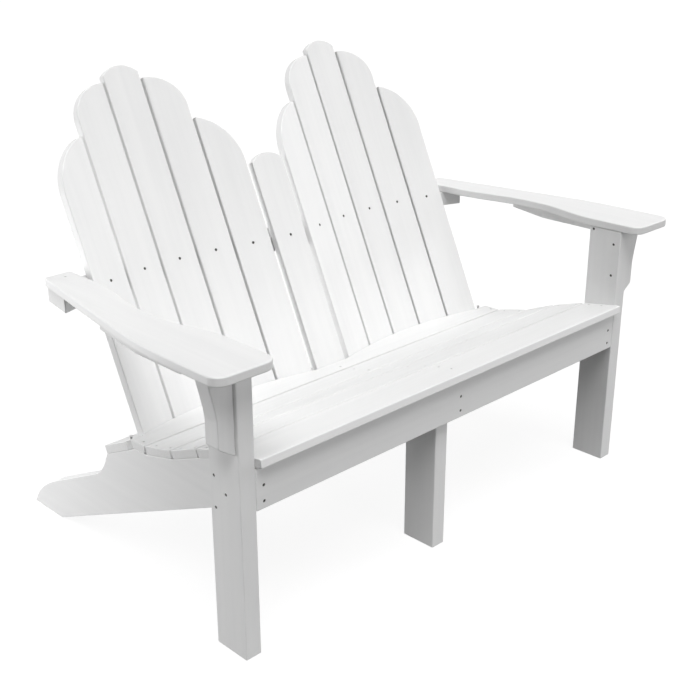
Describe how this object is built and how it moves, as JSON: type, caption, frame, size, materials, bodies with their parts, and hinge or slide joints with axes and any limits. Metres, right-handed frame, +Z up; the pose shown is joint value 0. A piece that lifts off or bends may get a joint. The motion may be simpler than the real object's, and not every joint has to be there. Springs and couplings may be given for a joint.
{
  "type": "adirondack loveseat",
  "caption": "White slatted garden loveseat with a fan-topped leaning back, dipped seat, broad curved arms and raked rear feet.",
  "frame": {"origin": "on the floor, under the middle of the overall box", "axes": "+Z up, -Y the way a sitter faces, +X to the right of someone who stands in front and looks at it"},
  "size_m": [1.42, 0.893, 1.0217],
  "materials": {
    "white_lumber": "smooth satin white plastic lumber",
    "screw_steel": "dark stainless screw heads"
  },
  "bodies": {
    "root": {"apron_screw_left_lower": "screw_steel", "apron_screw_left_upper": "screw_steel", "apron_screw_middle_lower": "screw_steel", "apron_screw_middle_upper": "screw_steel", "apron_screw_right_lower": "screw_steel", "apron_screw_right_upper": "screw_steel", "arm_bracket_left": "white_lumber", "arm_bracket_right": "white_lumber", "arm_left": "white_lumber", "arm_right": "white_lumber", "arm_support_left": "white_lumber", "arm_support_right": "white_lumber", "back_screw_01": "screw_steel", "back_screw_02": "screw_steel", "back_screw_03": "screw_steel", "back_screw_04": "screw_steel", "back_screw_05": "screw_steel", "back_screw_06": "screw_steel", "back_screw_07": "screw_steel", "back_screw_08": "screw_steel", "back_screw_09": "screw_steel", "back_screw_10": "screw_steel", "back_screw_11": "screw_steel", "back_slat_01": "white_lumber", "back_slat_02": "white_lumber", "back_slat_03": "white_lumber", "back_slat_04": "white_lumber", "back_slat_05": "white_lumber", "back_slat_06": "white_lumber", "back_slat_07": "white_lumber", "back_slat_08": "white_lumber", "back_slat_09": "white_lumber", "back_slat_10": "white_lumber", "back_slat_11": "white_lumber", "bracket_screw_left_lower": "screw_steel", "bracket_screw_left_upper": "screw_steel", "bracket_screw_right_lower": "screw_steel", "bracket_screw_right_upper": "screw_steel", "front_apron": "white_lumber", "front_leg_left": "white_lumber", "front_leg_middle": "white_lumber", "front_leg_right": "white_lumber", "leg_screw_left_1": "screw_steel", "leg_screw_left_2": "screw_steel", "leg_screw_left_3": "screw_steel", "leg_screw_right_1": "screw_steel", "leg_screw_right_2": "screw_steel", "leg_screw_right_3": "screw_steel", "lower_back_rail": "white_lumber", "seat_slat_1": "white_lumber", "seat_slat_2": "white_lumber", "seat_slat_3": "white_lumber", "seat_slat_4": "white_lumber", "seat_slat_5": "white_lumber", "stringer_left": "white_lumber", "stringer_middle": "white_lumber", "stringer_right": "white_lumber", "upper_back_rail": "white_lumber"}
  },
  "joints": []
}
